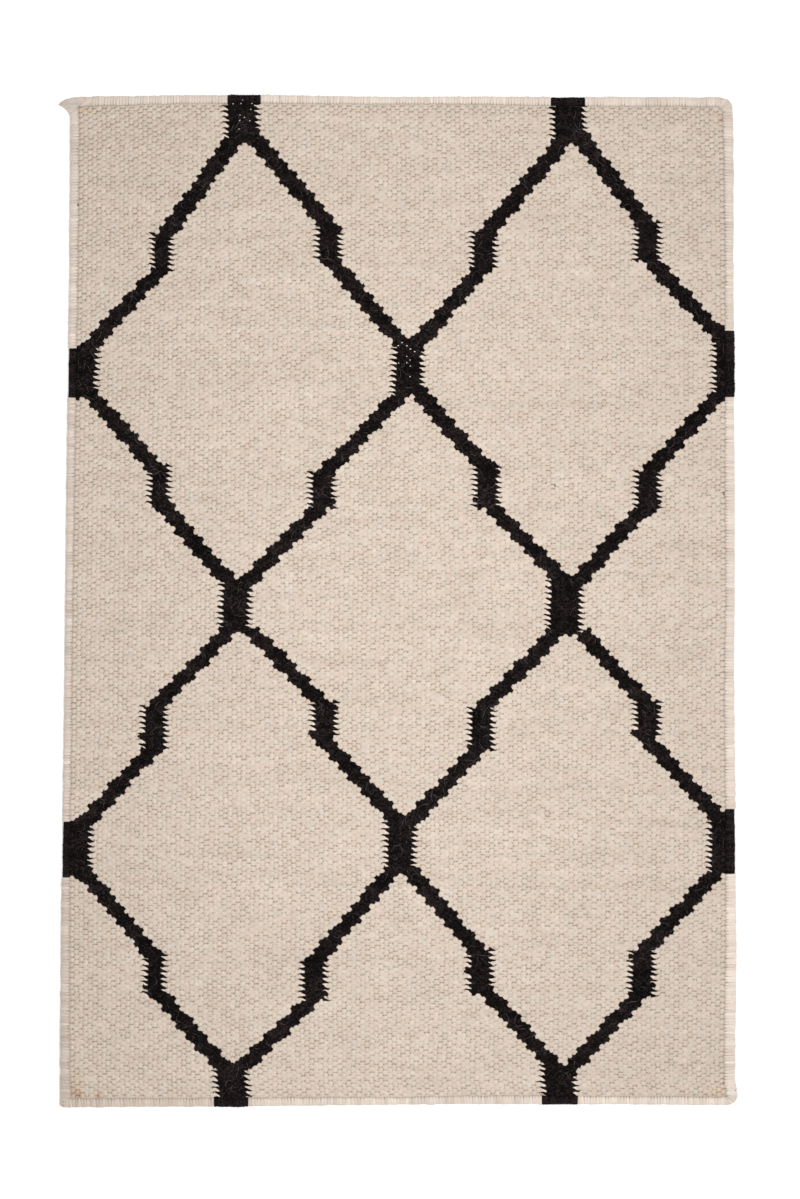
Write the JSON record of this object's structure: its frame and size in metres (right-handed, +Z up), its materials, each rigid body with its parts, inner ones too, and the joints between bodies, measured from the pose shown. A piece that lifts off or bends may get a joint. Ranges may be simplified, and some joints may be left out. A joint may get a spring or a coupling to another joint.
{
  "type": "kilim rug",
  "caption": "Small flat-woven wool rug lying flat, cream with a black trellis woven in and an overcast rim.",
  "frame": {"origin": "middle of the rug's box, on the surface that it lies on", "axes": "+Z up through the cloth, +Y along the rug's length towards the end with the pulled yarn tip, +X across its width"},
  "size_m": [0.6054, 0.9042, 0.0048],
  "materials": {
    "woven_wool": "weft-faced plain weave in cream and black wool",
    "cream_overcast": "cream wool yarn, whip-stitched",
    "black_overcast": "black wool yarn, whip-stitched"
  },
  "bodies": {
    "root": {"woven_panel": "woven_wool", "edge_black_top_left": "black_overcast", "edge_black_top_right": "black_overcast", "edge_black_right_upper": "black_overcast", "edge_black_right_lower": "black_overcast", "edge_black_bottom_right": "black_overcast", "edge_black_bottom_left": "black_overcast", "edge_black_left_lower": "black_overcast", "edge_black_left_upper": "black_overcast", "edge_cream_top": "cream_overcast", "edge_cream_right": "cream_overcast", "edge_cream_bottom": "cream_overcast", "edge_cream_left": "cream_overcast", "edge_cream_corner_bottom_right": "cream_overcast", "edge_cream_corner_top_right": "cream_overcast", "edge_cream_corner_top_left": "cream_overcast", "edge_cream_corner_bottom_left": "cream_overcast"}
  },
  "joints": []
}
